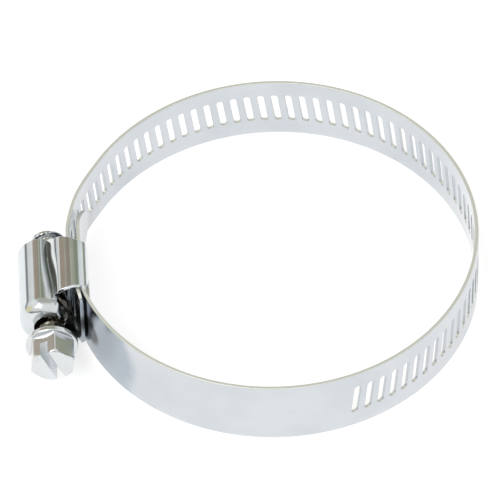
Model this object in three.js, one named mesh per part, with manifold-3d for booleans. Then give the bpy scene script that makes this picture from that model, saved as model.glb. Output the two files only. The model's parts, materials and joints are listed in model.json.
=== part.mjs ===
// Worm-drive hose clamp, opened to its largest size, in millimetres with +Z up.
// The ring's axis is vertical. The screw's axis runs along +Y, from its hex head to its tip.
// One steel strip goes round the ring: its fixed end sits under the housing, and its slotted
// end comes back through the housing, between the fixed end and the screw. The strip bends as
// the clamp closes, so it is built as short links that meet at hinge lines.
import * as THREE from 'three';
import { mergeVertices } from 'three/addons/utils/BufferGeometryUtils.js';
import Module from 'manifold-3d';

const wasm = await Module();
wasm.setup();

const DEG = Math.PI / 180;

// The strip
const RING_RADIUS = 34.3; // to the middle of the strip's thickness
const THICKNESS = 0.6;
const HALF_WIDTH = 6.35;
const SLOT_PITCH = 2.4;
const CELLS_PER_LINK = 5;
const LINK_LENGTH = SLOT_PITCH * CELLS_PER_LINK;
const LINK_COUNT = 18;
const TAIL_CORNER = 1.2; // cut off each corner of the free end
const LINK_GAP = 0.3;
const FIRST_HINGE_ANGLE = 200 * DEG; // where the first link starts, round the ring
const LIFT_ANGLE = 508 * DEG; // where the returning strip starts to lift over its fixed end
const LIFT_EASE = 0.07; // how much straighter the strip is after that
const PLAIN_LENGTH = 53; // with no slots, measured from the first hinge

// The slots
const SLOT_HALF_WIDTH = 0.58;
const SLOT_HALF_LENGTH = 3.1;
const SLOT_SHOULDER = 2.65; // where a slot's rounded end starts
const SLOT_SLANT = Math.tan(7 * DEG);

// The fixed end of the strip, under the housing
const FIXED_BEND_RADIUS = 15;
const FIXED_BEND = 20 * DEG;
const TONGUE_HINGE_Y = 2.8;
const TONGUE_RADIUS = 22;
const TONGUE_LENGTH = 8.4;
const TONGUE_STRAIGHT = 1.6; // full width up to here
const TONGUE_TIP_HALF_WIDTH = 1.6;

// The screw
const SCREW_X = -38.4;
const CORE_RADIUS = 2.3;
const CREST_RADIUS = 3.05;
const THREAD_PITCH = SLOT_PITCH;
const THREAD_START_Y = -11.9;
const THREAD_END_Y = 6.4;
const CREST_HALF_WIDTH = 0.3;
const ROOT_HALF_WIDTH = 0.78;
const STEPS_PER_TURN = 18;
const RIDGE_EASE = 0.12; // share of the thread over which its ridge rises at each end
const NECK_RADIUS = 2.2;
const COLLAR_RADIUS = 4.45;
const COLLAR_Y = -16.5;
const HEX_Y = -17.5;
const FACE_Y = -21.75;
const ACROSS_FLATS = 7;
const HEX_CORNER_TURN = 7.5 * DEG;
const DRIVER_SLOT_TURN = -22 * DEG;
const DRIVER_SLOT_WIDTH = 1.4;
const DRIVER_SLOT_DEPTH = 2.6;

// The housing, one stamped sheet
const SHEET = 0.65;
const HOUSING_BACK_Y = 2.4;
const HOUSING_HEAD_Y = -13.2;
const SHOULDER_HEAD_Y = -10;
const SHOULDER_BACK_Y = 1.2;
const FOOT_HEAD_Y = -7.4; // the feet are shorter than the shoulders
const FOOT_X = 5.6; // from the screw's axis
const CREASE_X = -0.1; // from the screw's axis
const LIP_HOLE_RADIUS = 2.55;
// Half of the sheet's outer outline: distance from the screw's axis across and along the ring's axis
const OUTLINE = [
  [-5.3, 1],
  [-4.95, 2.3],
  [-4.15, 3.55],
  [-3.1, 4.45],
  [-1.9, 5],
  [-0.8, 5],
  [CREASE_X, 4.6],
  [0.45, 5.25],
  [1.9, 6.6],
  [3, 7.25],
  [5.1, 7.25],
  [5.9, 7],
  [6.45, 6.5],
  [6.7, 5.7],
  [6.7, 3.2],
];

/** A closed manifold-3d solid from a three.js geometry. */
function solidOf(geometry) {
  const bare = geometry.clone();
  bare.deleteAttribute('normal');
  bare.deleteAttribute('uv');
  const merged = mergeVertices(bare, 1e-4);
  return new wasm.Manifold(new wasm.Mesh({
    numProp: 3,
    vertProperties: new Float32Array(merged.attributes.position.array),
    triVerts: new Uint32Array(merged.index.array),
  }));
}

/** A three.js geometry from a manifold-3d solid. */
function geometryOf(solid) {
  const mesh = solid.getMesh();
  const geometry = new THREE.BufferGeometry();
  geometry.setAttribute('position', new THREE.BufferAttribute(mesh.vertProperties, 3));
  geometry.setIndex(new THREE.BufferAttribute(mesh.triVerts, 1));
  return geometry;
}

/** A geometry from a list of corner points, three to a triangle. */
function geometryFromTriangles(corners) {
  const geometry = new THREE.BufferGeometry();
  geometry.setAttribute('position', new THREE.Float32BufferAttribute(corners.flat(), 3));
  return mergeVertices(geometry, 1e-5);
}

/** A mesh with its own metal material. */
function metalMesh(name, geometry, color, roughness) {
  geometry.computeVertexNormals();
  const material = new THREE.MeshStandardMaterial({ color, metalness: 1, roughness });
  const mesh = new THREE.Mesh(geometry, material);
  mesh.name = name;
  return mesh;
}

/** A point an arc's length along a circle from a start point, with its outward side. */
function alongArc(start, heading, radius, length) {
  const turn = length / radius;
  const centre = [
    start[0] - radius * Math.sin(heading),
    start[1] + radius * Math.cos(heading),
  ];
  const side = heading + turn - Math.PI / 2;
  return {
    point: [centre[0] + radius * Math.cos(side), centre[1] + radius * Math.sin(side)],
    heading: heading + turn,
  };
}

const firstHinge = [
  RING_RADIUS * Math.cos(FIRST_HINGE_ANGLE),
  RING_RADIUS * Math.sin(FIRST_HINGE_ANGLE),
];
const firstHeading = FIRST_HINGE_ANGLE + Math.PI / 2;
const liftLength = RING_RADIUS * (LIFT_ANGLE - FIRST_HINGE_ANGLE);
const liftPlace = alongArc(firstHinge, firstHeading, RING_RADIUS, liftLength);

/** Where the strip's middle is at a length from the first hinge, and where it heads. */
function ringPath(length) {
  if (length <= liftLength) {
    return alongArc(firstHinge, firstHeading, RING_RADIUS, length);
  }
  const easedRadius = RING_RADIUS / (1 - LIFT_EASE);
  return alongArc(liftPlace.point, liftPlace.heading, easedRadius, length - liftLength);
}

// Behind the first hinge, the fixed end bends to run straight under the housing.
const bendStart = alongArc(
  firstHinge,
  firstHeading,
  FIXED_BEND_RADIUS,
  -FIXED_BEND_RADIUS * FIXED_BEND,
);
const straightX = bendStart.point[0];

/** The same for the fixed end, at a length behind the first hinge. */
function fixedPath(length) {
  if (length <= FIXED_BEND_RADIUS * FIXED_BEND) {
    return alongArc(firstHinge, firstHeading, FIXED_BEND_RADIUS, -length);
  }
  const rise = length - FIXED_BEND_RADIUS * FIXED_BEND;
  return { point: [straightX, bendStart.point[1] + rise], heading: -Math.PI / 2 };
}

/** The same for the tongue, at a length behind its hinge line. */
function tonguePath(length) {
  return alongArc([straightX, TONGUE_HINGE_Y], -Math.PI / 2, TONGUE_RADIUS, -length);
}

/**
 * A closed piece of strip along a path, between two lengths, cut into cells.
 * halfWidth gives its half width at a length. A cell has a slot if its middle is past slotsFrom.
 */
function stripPiece(path, lengths, halfWidth, slotsFrom) {
  const corners = [];
  const at = (length, z, side) => {
    const { point, heading } = path(length);
    const out = side * THICKNESS / 2;
    return [point[0] + out * Math.sin(heading), point[1] - out * Math.cos(heading), z];
  };
  const triangle = (a, b, c) => corners.push(a, b, c);
  const quad = (a, b, c, d) => {
    triangle(a, b, c);
    triangle(a, c, d);
  };
  for (let i = 0; i + 1 < lengths.length; i += 1) {
    const [from, to] = [lengths[i], lengths[i + 1]];
    const middle = (from + to) / 2;
    const rim = [
      [from, -halfWidth(from)],
      [middle, -halfWidth(middle)],
      [to, -halfWidth(to)],
      [to, 0],
      [to, halfWidth(to)],
      [middle, halfWidth(middle)],
      [from, halfWidth(from)],
      [from, 0],
    ];
    const slot = [
      [-SLOT_HALF_WIDTH, -SLOT_SHOULDER],
      [0, -SLOT_HALF_LENGTH],
      [SLOT_HALF_WIDTH, -SLOT_SHOULDER],
      [SLOT_HALF_WIDTH, 0],
      [SLOT_HALF_WIDTH, SLOT_SHOULDER],
      [0, SLOT_HALF_LENGTH],
      [-SLOT_HALF_WIDTH, SLOT_SHOULDER],
      [-SLOT_HALF_WIDTH, 0],
    ].map(([across, z]) => [middle + across + z * SLOT_SLANT, z]);
    const count = rim.length;
    for (let k = 0; k < count; k += 1) {
      const next = (k + 1) % count;
      const [outA, outB] = [at(...rim[k], 1), at(...rim[next], 1)];
      const [inA, inB] = [at(...rim[k], -1), at(...rim[next], -1)];
      if (middle > slotsFrom) {
        const [slotOutA, slotOutB] = [at(...slot[k], 1), at(...slot[next], 1)];
        const [slotInA, slotInB] = [at(...slot[k], -1), at(...slot[next], -1)];
        quad(outA, outB, slotOutB, slotOutA);
        quad(inB, inA, slotInA, slotInB);
        quad(slotOutA, slotOutB, slotInB, slotInA);
      } else {
        triangle(outA, outB, at(middle, 0, 1));
        triangle(inB, inA, at(middle, 0, -1));
      }
      const endSide = k === 2 || k === 3;
      const startSide = k === 6 || k === 7;
      const open = (endSide && i + 2 < lengths.length) || (startSide && i > 0);
      if (!open) {
        quad(outB, outA, inA, inB);
      }
    }
  }
  return geometryFromTriangles(corners);
}

/** The lengths at which a piece of strip is cut into cells, with both its ends held back. */
function cellLengths(from, to, cells, startGap, endGap) {
  const lengths = [];
  for (let i = 0; i <= cells; i += 1) {
    lengths.push(from + (to - from) * i / cells);
  }
  lengths[0] += startGap;
  lengths[cells] -= endGap;
  return lengths;
}

/** One link of the flexible strip, numbered from 1 at the fixed end. */
function bandLink(number) {
  const last = number === LINK_COUNT;
  const from = (number - 1) * LINK_LENGTH;
  const to = from + LINK_LENGTH;
  const endGap = last ? 0 : LINK_GAP / 2;
  const lengths = cellLengths(from, to, CELLS_PER_LINK, LINK_GAP / 2, endGap);
  const halfWidth = (length) => (
    last ? HALF_WIDTH - Math.max(0, TAIL_CORNER - (to - length)) : HALF_WIDTH
  );
  const geometry = stripPiece(ringPath, lengths, halfWidth, PLAIN_LENGTH);
  const name = `band_link_${String(number).padStart(2, '0')}`;
  return metalMesh(name, geometry, '#cdd5de', 0.22);
}

/** The fixed end of the strip, flat against the housing's feet. */
function fixedEnd() {
  const length = FIXED_BEND_RADIUS * FIXED_BEND + TONGUE_HINGE_Y - bendStart.point[1];
  const bendCells = 4;
  const bendLengths = cellLengths(0, FIXED_BEND_RADIUS * FIXED_BEND, bendCells, 0, 0);
  const lengths = [...bendLengths, length - LINK_GAP / 2];
  lengths[0] = LINK_GAP / 2;
  const backwards = lengths.map((value) => -value).reverse();
  const fullWidth = () => HALF_WIDTH;
  const geometry = stripPiece((value) => fixedPath(-value), backwards, fullWidth, Infinity);
  return metalMesh('band_fixed_end', geometry, '#c4ccd4', 0.25);
}

/** The tapered tongue that reaches out of the housing, under the returning strip. */
function tongue() {
  const cells = 5;
  const lengths = cellLengths(-TONGUE_LENGTH, 0, cells, 0, LINK_GAP / 2);
  const taper = TONGUE_LENGTH - TONGUE_STRAIGHT;
  const halfWidth = (value) => {
    const share = Math.max(0, -value - TONGUE_STRAIGHT) / taper;
    return HALF_WIDTH - (HALF_WIDTH - TONGUE_TIP_HALF_WIDTH) * share ** 1.6;
  };
  const geometry = stripPiece((value) => tonguePath(-value), lengths, halfWidth, Infinity);
  return metalMesh('band_tongue', geometry, '#c4ccd4', 0.25);
}

/** The sheet's outline moved inward by the sheet's thickness. */
function insideOutline(outline) {
  return outline.map((point, i) => {
    const before = outline[Math.max(0, i - 1)];
    const after = outline[Math.min(outline.length - 1, i + 1)];
    const normals = [[before, point], [point, after]]
      .filter(([a, b]) => a !== b)
      .map(([a, b]) => {
        const span = Math.hypot(b[0] - a[0], b[1] - a[1]);
        return [(b[1] - a[1]) / span, -(b[0] - a[0]) / span];
      });
    const first = i === 0 ? [1, 0] : normals[0];
    const second = normals[normals.length - 1];
    const sum = [first[0] + second[0], first[1] + second[1]];
    const reach = SHEET / (1 + first[0] * second[0] + first[1] * second[1]);
    return [point[0] + sum[0] * reach, point[1] + sum[1] * reach];
  });
}

/** A solid with an outline across the ring's axis, run along the screw between two places. */
function alongScrew(points, fromY, toY) {
  const shape = new THREE.Shape(points.map(([x, z]) => new THREE.Vector2(x, z)));
  const geometry = new THREE.ExtrudeGeometry(shape, {
    depth: toY - fromY,
    bevelEnabled: false,
  });
  geometry.rotateX(Math.PI / 2);
  geometry.translate(SCREW_X, toY, 0);
  return solidOf(geometry);
}

/** A solid cylinder on the screw's axis. */
function screwCylinder(radius, fromY, toY, sides) {
  const geometry = new THREE.CylinderGeometry(radius, radius, toY - fromY, sides);
  geometry.translate(SCREW_X, (fromY + toY) / 2, 0);
  return solidOf(geometry);
}

/** A solid box between two corners, measured across from the screw's axis. */
function boxBetween(low, high) {
  const size = high.map((value, i) => value - low[i]);
  const geometry = new THREE.BoxGeometry(...size);
  geometry.translate(
    SCREW_X + (low[0] + high[0]) / 2,
    (low[1] + high[1]) / 2,
    (low[2] + high[2]) / 2,
  );
  return solidOf(geometry);
}

/** The stamped housing: an arch over the screw, shoulders, and feet folded under the strip. */
function wormHousing() {
  const inner = insideOutline(OUTLINE);
  const mirrored = (points) => points.map(([x, z]) => [x, -z]).reverse();
  const section = [
    ...mirrored(OUTLINE),
    ...OUTLINE,
    ...[...inner].reverse(),
    ...mirrored([...inner].reverse()),
  ];
  const outside = 12; // past the sheet on every side
  let housing = alongScrew(section, HOUSING_HEAD_Y, HOUSING_BACK_Y);
  housing = housing.subtract(boxBetween(
    [CREASE_X, HOUSING_HEAD_Y - 1, -outside],
    [outside, SHOULDER_HEAD_Y, outside],
  ));
  housing = housing.subtract(boxBetween(
    [FOOT_X, HOUSING_HEAD_Y - 1, -outside],
    [outside, FOOT_HEAD_Y, outside],
  ));
  housing = housing.subtract(boxBetween(
    [CREASE_X, SHOULDER_BACK_Y, -outside],
    [outside, HOUSING_BACK_Y + 1, outside],
  ));
  const archPoints = inner.filter(([x]) => x <= CREASE_X + SHEET);
  const overlap = 0.2; // of the lip into the sheet
  const isSide = (x) => x < -3;
  const lipPoints = [...mirrored(archPoints), ...archPoints]
    .map(([x, z]) => [x - (isSide(x) ? overlap : 0), z + Math.sign(z) * overlap]);
  const lip = alongScrew(lipPoints, HOUSING_HEAD_Y, HOUSING_HEAD_Y + SHEET)
    .subtract(screwCylinder(LIP_HOLE_RADIUS, HOUSING_HEAD_Y - 1, HOUSING_HEAD_Y + 2, 32));
  housing = housing.add(lip);
  return metalMesh('worm_housing', geometryOf(housing), '#c9d0d6', 0.2);
}

/** The right-handed helical ridge of the worm. */
function threadRidge() {
  const length = THREAD_END_Y - THREAD_START_Y - 2 * ROOT_HALF_WIDTH;
  const steps = Math.round(length / THREAD_PITCH * STEPS_PER_TURN);
  const buried = CORE_RADIUS - 0.4;
  const rings = [];
  for (let i = 0; i <= steps; i += 1) {
    const share = i / steps;
    const ease = Math.min(1, share / RIDGE_EASE, (1 - share) / RIDGE_EASE);
    const crest = CORE_RADIUS + 0.05 + (CREST_RADIUS - CORE_RADIUS - 0.05) * ease;
    const turn = share * length / THREAD_PITCH * 2 * Math.PI;
    const y = THREAD_START_Y + ROOT_HALF_WIDTH + share * length;
    const place = (radius, along) => [
      SCREW_X + radius * Math.sin(turn),
      y + along,
      radius * Math.cos(turn),
    ];
    rings.push([
      place(buried, -ROOT_HALF_WIDTH),
      place(buried, ROOT_HALF_WIDTH),
      place(crest, CREST_HALF_WIDTH),
      place(crest, -CREST_HALF_WIDTH),
    ]);
  }
  const corners = [];
  const quad = (a, b, c, d) => corners.push(a, b, c, a, c, d);
  for (let i = 0; i < steps; i += 1) {
    for (let k = 0; k < 4; k += 1) {
      const next = (k + 1) % 4;
      quad(rings[i][k], rings[i][next], rings[i + 1][next], rings[i + 1][k]);
    }
  }
  quad(...[...rings[0]].reverse());
  quad(...rings[steps]);
  return solidOf(geometryFromTriangles(corners));
}

/** The worm screw: slotted hex head, collar, neck and thread in one piece. */
function wormScrew() {
  const flatsToCorner = ACROSS_FLATS / Math.sqrt(3);
  const hexGeometry = new THREE.CylinderGeometry(
    flatsToCorner,
    flatsToCorner,
    HEX_Y + 0.2 - FACE_Y,
    6,
  );
  hexGeometry.rotateY(HEX_CORNER_TURN);
  hexGeometry.translate(SCREW_X, (HEX_Y + 0.2 + FACE_Y) / 2, 0);
  const domeProfile = [
    [0, FACE_Y],
    [3.1, FACE_Y],
    [3.5, FACE_Y + 0.35],
    [4.5, FACE_Y + 1.3],
    [4.5, HEX_Y + 1],
    [0, HEX_Y + 1],
  ].map(([radius, y]) => new THREE.Vector2(radius, y));
  const domeGeometry = new THREE.LatheGeometry(domeProfile, 36);
  domeGeometry.translate(SCREW_X, 0, 0);
  const bodyProfile = [
    [0, HEX_Y],
    [COLLAR_RADIUS - 0.15, HEX_Y],
    [COLLAR_RADIUS, HEX_Y + 0.2],
    [COLLAR_RADIUS, COLLAR_Y - 0.2],
    [COLLAR_RADIUS - 0.15, COLLAR_Y],
    [NECK_RADIUS, COLLAR_Y],
    [NECK_RADIUS, THREAD_START_Y - 0.1],
    [CORE_RADIUS, THREAD_START_Y],
    [CORE_RADIUS, THREAD_END_Y - 0.5],
    [CORE_RADIUS - 0.5, THREAD_END_Y],
    [0, THREAD_END_Y],
  ].map(([radius, y]) => new THREE.Vector2(radius, y));
  const bodyGeometry = new THREE.LatheGeometry(bodyProfile, 36);
  bodyGeometry.translate(SCREW_X, 0, 0);
  const slotGeometry = new THREE.BoxGeometry(DRIVER_SLOT_WIDTH, DRIVER_SLOT_DEPTH * 2, 12);
  slotGeometry.rotateY(DRIVER_SLOT_TURN);
  slotGeometry.translate(SCREW_X, FACE_Y, 0);
  const screw = solidOf(hexGeometry)
    .intersect(solidOf(domeGeometry))
    .add(solidOf(bodyGeometry))
    .add(threadRidge())
    .subtract(solidOf(slotGeometry));
  return metalMesh('worm_screw', geometryOf(screw), '#cfc6b4', 0.28);
}

const clamp = new THREE.Group();
clamp.name = 'hose_clamp';
clamp.add(wormHousing(), fixedEnd(), tongue(), wormScrew());
for (let number = 1; number <= LINK_COUNT; number += 1) {
  clamp.add(bandLink(number));
}

// The origin is the middle of the clamp's footprint.
const bounds = new THREE.Box3().setFromObject(clamp);
clamp.position.set(
  -(bounds.min.x + bounds.max.x) / 2,
  -(bounds.min.y + bounds.max.y) / 2,
  -bounds.min.z,
);

export default clamp;
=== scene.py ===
"""A worm-drive hose clamp, opened wide, seen from above with its screw head in front.

Lengths are in millimetres, measured from the ring's centre, and become metres in a mesh.
The strip is one steel band. It is built in pieces that meet in the middle of a bar between
two slots, and each piece spans one of the frame's hinges.
"""

import json
import math

import bmesh
import bpy
from mathutils import Matrix, Vector

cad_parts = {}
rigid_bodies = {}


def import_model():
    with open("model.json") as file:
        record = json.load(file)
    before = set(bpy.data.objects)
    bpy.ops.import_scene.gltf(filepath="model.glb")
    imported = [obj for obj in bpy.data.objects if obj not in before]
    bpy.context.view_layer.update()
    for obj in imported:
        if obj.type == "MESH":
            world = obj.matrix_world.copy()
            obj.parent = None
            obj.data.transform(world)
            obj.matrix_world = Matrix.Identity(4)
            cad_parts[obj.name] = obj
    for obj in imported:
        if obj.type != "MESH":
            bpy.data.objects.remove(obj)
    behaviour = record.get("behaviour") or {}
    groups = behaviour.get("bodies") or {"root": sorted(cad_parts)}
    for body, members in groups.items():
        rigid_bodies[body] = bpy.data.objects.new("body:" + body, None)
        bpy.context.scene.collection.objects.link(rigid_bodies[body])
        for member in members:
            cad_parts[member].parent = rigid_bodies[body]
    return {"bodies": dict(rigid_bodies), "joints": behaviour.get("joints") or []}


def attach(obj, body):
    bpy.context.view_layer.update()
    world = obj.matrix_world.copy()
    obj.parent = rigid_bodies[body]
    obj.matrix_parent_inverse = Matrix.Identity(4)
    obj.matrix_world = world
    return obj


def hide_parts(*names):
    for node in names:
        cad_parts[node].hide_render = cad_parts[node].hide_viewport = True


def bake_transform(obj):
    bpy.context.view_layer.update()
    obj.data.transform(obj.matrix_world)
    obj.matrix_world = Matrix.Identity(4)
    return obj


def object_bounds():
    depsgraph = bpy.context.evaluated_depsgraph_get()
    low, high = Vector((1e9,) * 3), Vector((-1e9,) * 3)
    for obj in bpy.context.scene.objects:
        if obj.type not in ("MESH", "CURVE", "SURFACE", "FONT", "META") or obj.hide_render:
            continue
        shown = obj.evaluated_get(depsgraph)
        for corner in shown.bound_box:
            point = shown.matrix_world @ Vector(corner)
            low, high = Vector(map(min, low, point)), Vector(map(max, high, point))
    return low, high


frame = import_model()
cad_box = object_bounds()

MM = 0.001
UV_SCALE = 10  # of the UVs, for each metre

# The strip
RING_RADIUS = 34.3  # to the middle of the strip's thickness
THICKNESS = 0.6
HALF_WIDTH = 6.35
EDGE = 0.12  # how far the strip's long edges are rounded
EDGE_ROUGHNESS = 0.55
EDGE_COLOUR = (0.72, 0.725, 0.675)
SLOT_EDGE = 0.07
SLOT_PITCH = 2.4
LINK_LENGTH = 5 * SLOT_PITCH
LINK_COUNT = sum(name.startswith("link_") for name in frame["bodies"])
STRIP_LENGTH = LINK_COUNT * LINK_LENGTH
BACK_OF_HINGE = 2 * SLOT_PITCH  # where a piece starts, before its hinge
AHEAD_OF_HINGE = 3 * SLOT_PITCH
FIRST_HINGE_ANGLE = math.radians(200)
LIFT_ANGLE = math.radians(508)  # where the returning strip lifts over its fixed end
LIFT_EASE = 0.07  # how much less it bends after that
BULGE = 0.52  # of the returning strip, just before it enters the housing
BULGE_RISE = 10  # length over which it bulges out, from where it lifts
BULGE_FALL_FROM = 15.5  # where it starts to go back, from where it lifts
BULGE_FALL = 5  # length over which it goes back
PLAIN_LENGTH = 53  # with no slots, measured from the first hinge
TAIL_CORNER = 1.5  # radius of the free end's corners
AXIS_STEP = 0.2  # over which the strip's direction is measured
WIDTH_STEP = 0.05  # over which the slope of its long edges is measured

# The slots
SLOT_HALF_WIDTH = 0.58
SLOT_HALF_LENGTH = 3.1
SLOT_SHOULDER = 2.6  # where a slot's rounded end starts
SLOT_SLANT = math.tan(math.radians(7))
SLOT_FRAME = 3.6  # half the length of the area that a slot is set in
SLOT_SIDE_STEPS = 4
SLOT_END_STEPS = 6
CELL_STEPS = 6  # along the strip, in the stretch between two slots' middles

# The strip's fixed end
FIXED_BEND_RADIUS = 15
FIXED_BEND = math.radians(20)
TONGUE_HINGE_Y = 2.8
TONGUE_RADIUS = 22
TONGUE_LENGTH = 8.4
TONGUE_TIP = 1.6  # radius of its tip's corners
TONGUE_TIP_FLAT = 0.6  # half of the flat end between them
TONGUE_STRAIGHT = 0.8  # of full width, past the tongue's hinge
TONGUE_BLEND = 1.6  # a length on each side of the tongue's hinge, whose places are worked out but not used
NARROWEST = 0.3  # half width of the tongue, at least

# The screw
CORE_RADIUS = 2.3
CREST_RADIUS = 3.05
THREAD_START_Y = -11.9
THREAD_END_Y = 6.4
THREAD_RISE = 1.6  # length over which the ridge rises at its start
THREAD_FALL = 0.6
CREST_HALF_WIDTH = 0.28
ROOT_HALF_WIDTH = 0.8
NECK_RADIUS = 2.2
COLLAR_RADIUS = 4.45
COLLAR_Y = -16.5
HEX_Y = -17.5
FACE_Y = -21.75
HALF_FLATS = 3.5
HEX_CORNER_TURN = math.radians(7.5)
HEX_CORNER_EASE = math.radians(1.2)  # half of each rounded corner
FACE_RADIUS = 3.15  # of the flat end face, inside its chamfer
HEAD_CHAMFER = 0.75
DRIVER_SLOT_TURN = math.radians(-22)
DRIVER_SLOT_WIDTH = 1.4
DRIVER_SLOT_DEPTH = 2.6
DRIVER_SLOT_CHAMFER = 0.1
CORNER_RISE = 0.02  # of a hex corner's middle, above its two sides
HEX_ROOT_RADIUS = 0.1  # of the corner between the hexagon and its collar
COLLAR_EDGE = 0.22
TIP_RADIUS = 0.7  # how far the screw's tip is rounded
SHARP_ANGLE = math.radians(28)

# The housing
SHEET = 0.65
HOUSING_BACK_Y = 2.4
SHOULDER_BACK_Y = 1.3
SHOULDER_BACK_ROUNDING = 1.6  # how far its back edge recedes towards the ring's inside
SHOULDER_HEAD_Y = -10.0
FOOT_HEAD_Y = -7.4
NOSE_START_Y = -10.9  # where the arch starts to close in, towards the screw's head
HOUSING_HEAD_Y = -13.2
FLAP_ROUNDING = 0.9  # along the screw, from the shoulder's end to the flap's full width
MOUTH_RADIUS = 2.85
SHEET_STEPS = 5  # between two points of an outline
SHEET_EDGE = 0.11  # how far the sheet's cut edges are rounded
# Half of the sheet's outline: distance across from the screw's axis, and along the ring's axis
ARCH = [
    (-5.27, 0), (-5.2, 1.2), (-4.85, 2.4), (-4.15, 3.5), (-3.15, 4.4),
    (-2.1, 4.93), (-1.45, 5.06), (-1.0, 4.99), (-0.6, 4.79), (-0.1, 4.5),
]
SHOULDER = [
    (-0.1, 4.5), (0.45, 5.25), (1.1, 6.02), (1.8, 6.62), (2.6, 6.95), (3.6, 7.18),
    (4.4, 7.22), (5.15, 7.15), (5.85, 6.93), (6.4, 6.45), (6.67, 5.75), (6.7, 5.0), (6.7, 3.2),
]
HEAD_FLAP = [(-0.1, 4.5), (0.75, 4.4), (1.45, 3.9), (1.85, 3.2), (1.9, 2.5)]
CREASE_DRIFT = 0.9  # of the crease towards the strip, at the housing's head end
DRIFT_REACH = 3  # in outline points on either side of the crease
DRIFT_START_Y = HOUSING_BACK_Y - 3
DRIFT_LENGTH = 10  # along the screw, over which the crease drifts
BODY_ROW_STEPS = 16
SHOULDER_DIP = 0.7  # of the sheet's head end, next to the crease
SHOULDER_DIP_BACK = 0.4  # how much of that is gone on top of the shoulder
FOOT_FROM = 8.5  # outline points from the crease to where the foot's own end starts

# Painted shade and reflections, and grease
CREASE_SHADE_COLOUR = (0.36, 0.38, 0.36)  # painted shade and a dark reflection in the housing's crease
CREASE_SHADE_X = -0.55  # from the screw's axis, on the arch's side of the crease
CREASE_SHADE_INNER = 0.15
CREASE_SHADE_OUTER = 0.75
CREASE_SHADE_FADE = 3  # along the screw, from where the arch starts to close in
# Painted dark reflections and shade on the strip near the screw's head
PAINTED_SHADE_PATCHES = [
    # colour, centre on the strip, and the distances from it over which the patch fades
    # a painted reflection of the screw's head and the housing, over the strip near the housing
    ((0.68, 0.72, 0.77), (-33.5, -11.5, 0), 12.5, 17),
    # a small dark patch of painted shade beside the screw's head
    ((0.12, 0.12, 0.11), (-31.8, -13.8, -0.7), 1.5, 3.3),
]
PATCH_UNEVENNESS = 0.25  # of a patch's size
PATCH_SHARE = 0.88  # of those distances, to make up for the unevenness
GREASE_AND_SHADE = (0.32, 0.28, 0.22)  # on the screw, where the housing hides it: grease, and painted shade
GREASE_AND_SHADE_START_Y = -15.9
GREASE_AND_SHADE_END_Y = 2.2
GREASE_AND_SHADE_FADE = 0.6
WHITE = (1, 1, 1, 1)

low, high = [corner / MM for corner in cad_box]
CENTRE = Vector((
    high.x - RING_RADIUS - THICKNESS / 2,
    (low.y + high.y) / 2,
    (low.z + high.z) / 2,
))
turning = next(joint for joint in frame["joints"] if joint["child"] == "screw")
SCREW_X = turning["pos_m"][0] / MM - CENTRE.x


def smooth_step(value):
    """0 before 0, 1 after 1, and smooth between them."""
    value = min(1, max(0, value))
    return value * value * (3 - 2 * value)


# ---------------------------------------------------------------- meshes


class MeshParts:
    """Vertices with their own normals and UVs, merged where they are the same, and faces."""

    def __init__(self):
        self.known = {}
        self.points = []
        self.normals = []
        self.uvs = []
        self.faces = []

    def vertex(self, key, point, normal, uv):
        """The number of the vertex with this key, made if it is new."""
        if key not in self.known:
            self.known[key] = len(self.points)
            self.points.append((CENTRE + point) * MM)
            self.normals.append(normal.normalized())
            self.uvs.append(uv)
        return self.known[key]

    def face(self, *corners):
        """A face, unless it has shrunk to a line."""
        kept = []
        for corner in corners:
            if corner not in kept:
                kept.append(corner)
        if len(kept) > 2:
            self.faces.append(kept)

    def build(self, name):
        """The object, linked to the scene."""
        mesh = bpy.data.meshes.new(name)
        mesh.from_pydata(self.points, [], self.faces)
        layer = mesh.uv_layers.new(name="UVMap")
        for loop in mesh.loops:
            layer.data[loop.index].uv = self.uvs[loop.vertex_index]
        mesh.shade_smooth()
        mesh.normals_split_custom_set_from_vertices(self.normals)
        made = bpy.data.objects.new(name, mesh)
        bpy.context.scene.collection.objects.link(made)
        return made


def along_arc(start, heading, radius, length):
    """The point an arc's length along a circle that turns left, and the heading there."""
    turn = length / radius
    centre_x = start[0] - radius * math.sin(heading)
    centre_y = start[1] + radius * math.cos(heading)
    side = heading + turn - math.pi / 2
    point = (centre_x + radius * math.cos(side), centre_y + radius * math.sin(side))
    return point, heading + turn


# ---------------------------------------------------------------- strip path

first_hinge = (
    RING_RADIUS * math.cos(FIRST_HINGE_ANGLE),
    RING_RADIUS * math.sin(FIRST_HINGE_ANGLE),
)
first_heading = FIRST_HINGE_ANGLE + math.pi / 2
lift_length = RING_RADIUS * (LIFT_ANGLE - FIRST_HINGE_ANGLE)
lift_place = along_arc(first_hinge, first_heading, RING_RADIUS, lift_length)
bend_length = FIXED_BEND_RADIUS * FIXED_BEND
bend_start = along_arc(first_hinge, first_heading, FIXED_BEND_RADIUS, -bend_length)[0]
tongue_hinge_length = -(bend_length + TONGUE_HINGE_Y - bend_start[1])
tongue_end_length = tongue_hinge_length - TONGUE_LENGTH


def strip_path(length):
    """The middle of the strip and its heading, at a length from the first hinge."""
    if length > lift_length:
        eased = RING_RADIUS / (1 - LIFT_EASE)
        return along_arc(*lift_place, eased, length - lift_length)
    if length >= 0:
        return along_arc(first_hinge, first_heading, RING_RADIUS, length)
    if length >= -bend_length:
        return along_arc(first_hinge, first_heading, FIXED_BEND_RADIUS, length)
    if length >= tongue_hinge_length:
        return (bend_start[0], bend_start[1] - bend_length - length), -math.pi / 2
    hinge = (bend_start[0], TONGUE_HINGE_Y)
    return along_arc(hinge, -math.pi / 2, TONGUE_RADIUS, length - tongue_hinge_length)


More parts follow.
